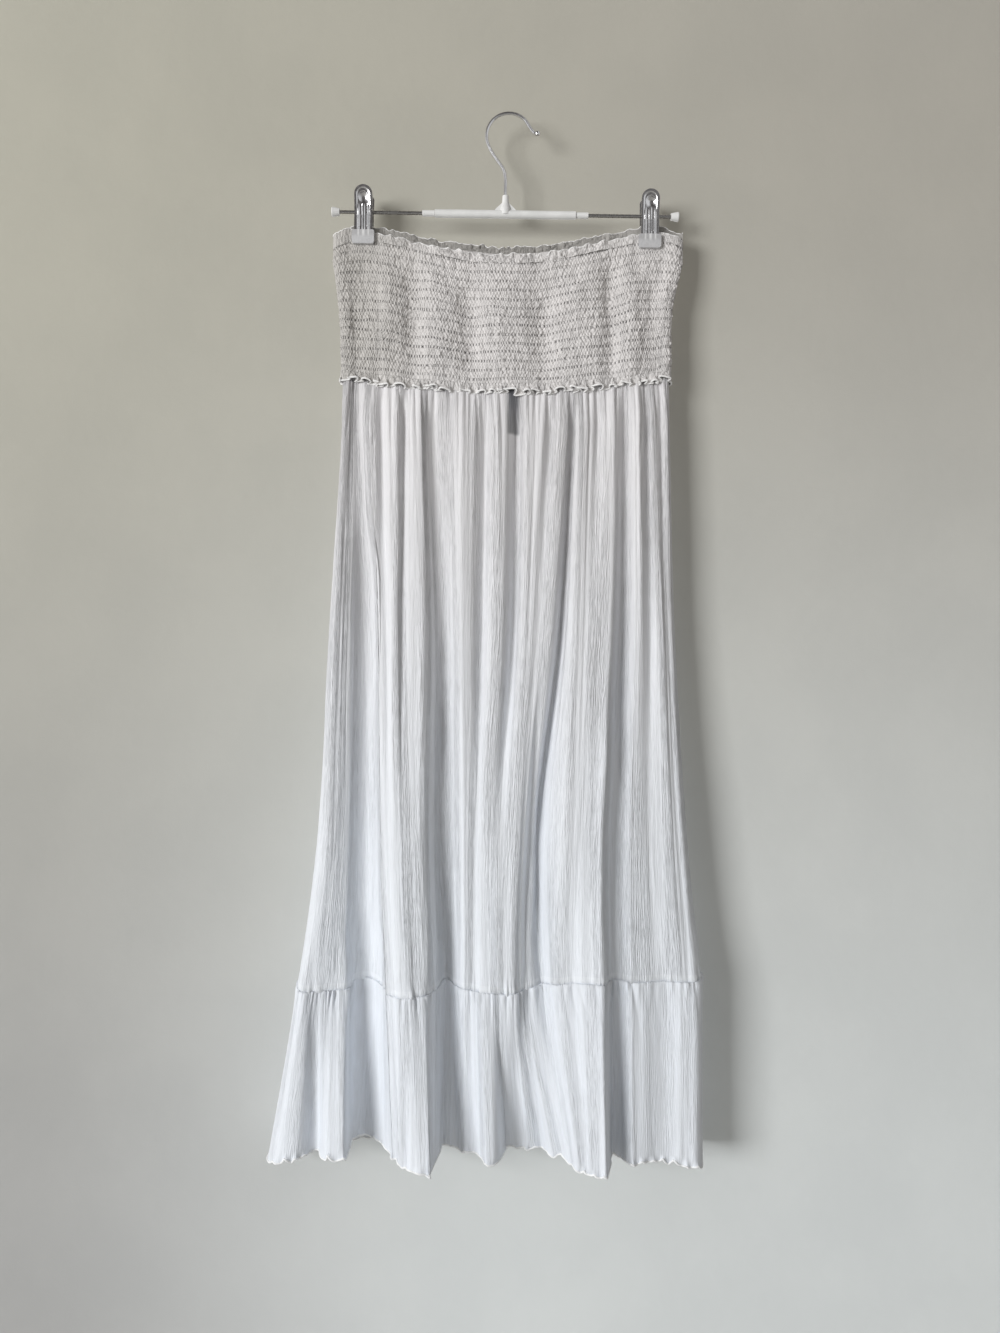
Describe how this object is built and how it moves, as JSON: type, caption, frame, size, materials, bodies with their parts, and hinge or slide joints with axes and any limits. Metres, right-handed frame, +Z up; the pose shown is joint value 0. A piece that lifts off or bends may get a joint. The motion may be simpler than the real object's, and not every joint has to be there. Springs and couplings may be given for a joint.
{
  "type": "gathered maxi skirt on a clip hanger",
  "caption": "Long crinkle-cotton skirt with a shirred yoke, frilled waist and gathered flounce, hung by its waist from a clip hanger.",
  "frame": {"origin": "inside of the crown of the hanger's hook, where it rests on what carries it", "axes": "+Z up along the hanging skirt's length, front of the skirt towards -Y, +X along the hanger to the viewer's right"},
  "size_m": [0.4083, 0.085, 0.9903],
  "materials": {
    "gauze": "matte white cotton crinkle gauze",
    "label": "plain black woven ribbon",
    "chrome": "bright plated steel",
    "steel": "dark drawn steel",
    "white_plastic": "moulded white plastic",
    "pad_plastic": "soft milky plastic"
  },
  "bodies": {
    "root": {"heading_front": "gauze", "heading_back": "gauze", "yoke_front": "gauze", "yoke_back": "gauze", "waist_frill_front": "gauze", "waist_frill_back": "gauze", "skirt_front": "gauze", "skirt_back": "gauze", "flounce_front": "gauze", "flounce_back": "gauze", "inner_label": "label", "hook_wire": "chrome", "hanger_bar": "white_plastic", "rod_left": "steel", "sleeve_left": "white_plastic", "end_cap_left": "white_plastic", "clip_left_front_plate": "chrome", "clip_left_front_pad": "pad_plastic", "clip_left_back_plate": "chrome", "clip_left_back_pad": "pad_plastic", "clip_left_spring": "steel", "rod_right": "steel", "sleeve_right": "white_plastic", "end_cap_right": "white_plastic", "clip_right_front_plate": "chrome", "clip_right_front_pad": "pad_plastic", "clip_right_back_plate": "chrome", "clip_right_back_pad": "pad_plastic", "clip_right_spring": "steel"}
  },
  "joints": []
}
